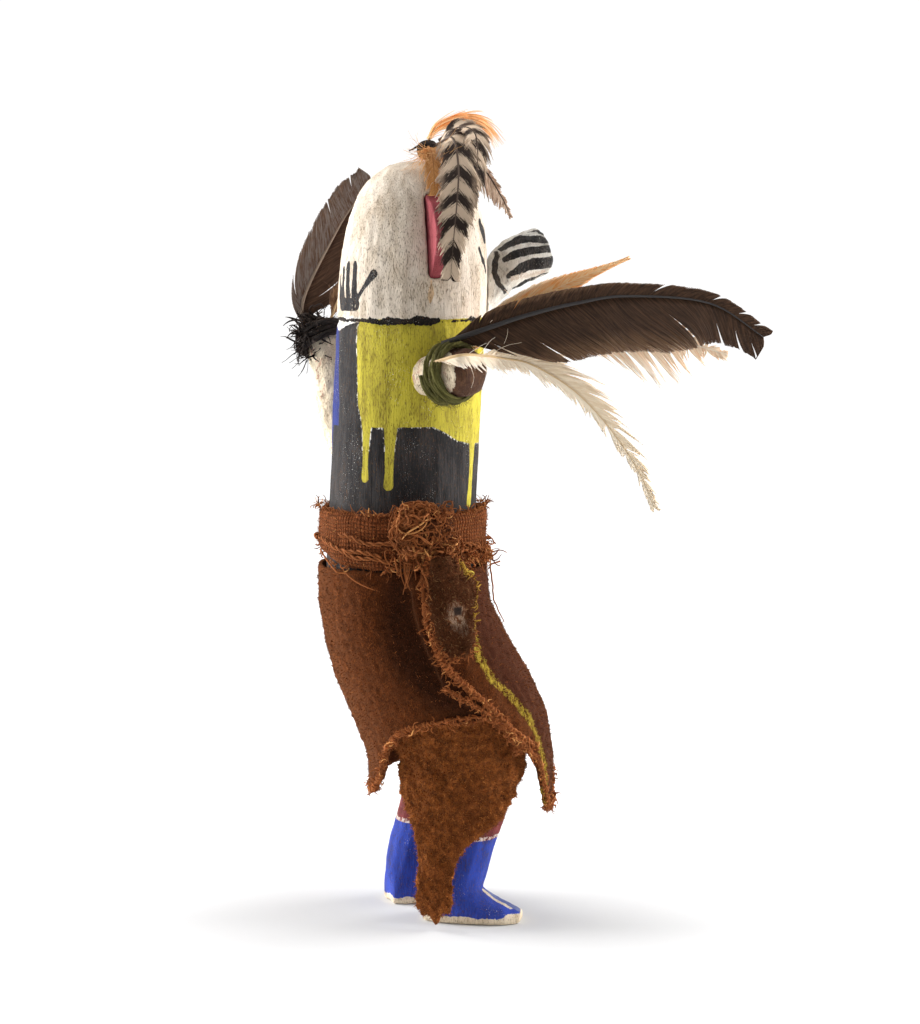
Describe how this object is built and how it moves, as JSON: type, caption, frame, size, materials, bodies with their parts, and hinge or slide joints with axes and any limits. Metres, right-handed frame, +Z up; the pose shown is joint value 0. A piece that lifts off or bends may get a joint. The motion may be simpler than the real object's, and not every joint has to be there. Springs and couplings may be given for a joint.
{
  "type": "kachina doll",
  "caption": "Standing carved wooden doll with a painted cylindrical body, domed mask, tubular snout, feathers held in both stub arms and on the crown, and a wool belt, kilt and hanging cloth.",
  "frame": {"origin": "centre of the doll's bounding box, at the underside of its soles", "axes": "+Z up; the doll faces -Y, so its own right side is -X and its own left side is +X"},
  "size_m": [0.1014, 0.152, 0.2899],
  "materials": {
    "painted_wood": "matt mineral paint, worn",
    "striped_wood": "matt white and black paint, worn",
    "red_wood": "matt red paint",
    "bare_wood": "bare wood, handled",
    "green_yarn": "twisted wool yarn",
    "black_yarn": "twisted wool yarn",
    "dark_feather": "natural feather, slight sheen",
    "brown_feather": "natural feather, slight sheen",
    "orange_feather": "natural feather, slight sheen",
    "tan_feather": "natural feather, slight sheen",
    "cream_feather": "natural feather, slight sheen",
    "barred_feather": "natural barred feather",
    "string": "black twisted string",
    "tuft_down": "natural down",
    "belt_wool": "woven wool, frayed",
    "kilt_wool": "felted brown wool",
    "cloth_wool": "felted brown wool"
  },
  "bodies": {
    "root": {"figure": "painted_wood", "snout": "striped_wood", "ear_right": "red_wood", "ear_left": "red_wood", "arm_right": "bare_wood", "arm_left": "bare_wood", "yarn_right": "green_yarn", "yarn_left": "black_yarn", "flight_feather_right": "dark_feather", "tan_feather_right": "tan_feather", "orange_feather_right": "orange_feather", "cream_feather_right": "cream_feather", "flight_feather_left": "dark_feather", "small_feather_left": "brown_feather", "crest_tie": "string", "crest_tuft": "tuft_down", "crest_hackle_wide": "barred_feather", "crest_hackle_narrow": "barred_feather", "crest_plume": "orange_feather", "crest_front_feather": "brown_feather", "belt": "belt_wool", "belt_knot": "belt_wool", "kilt": "kilt_wool", "hanging_cloth": "cloth_wool"}
  },
  "joints": []
}
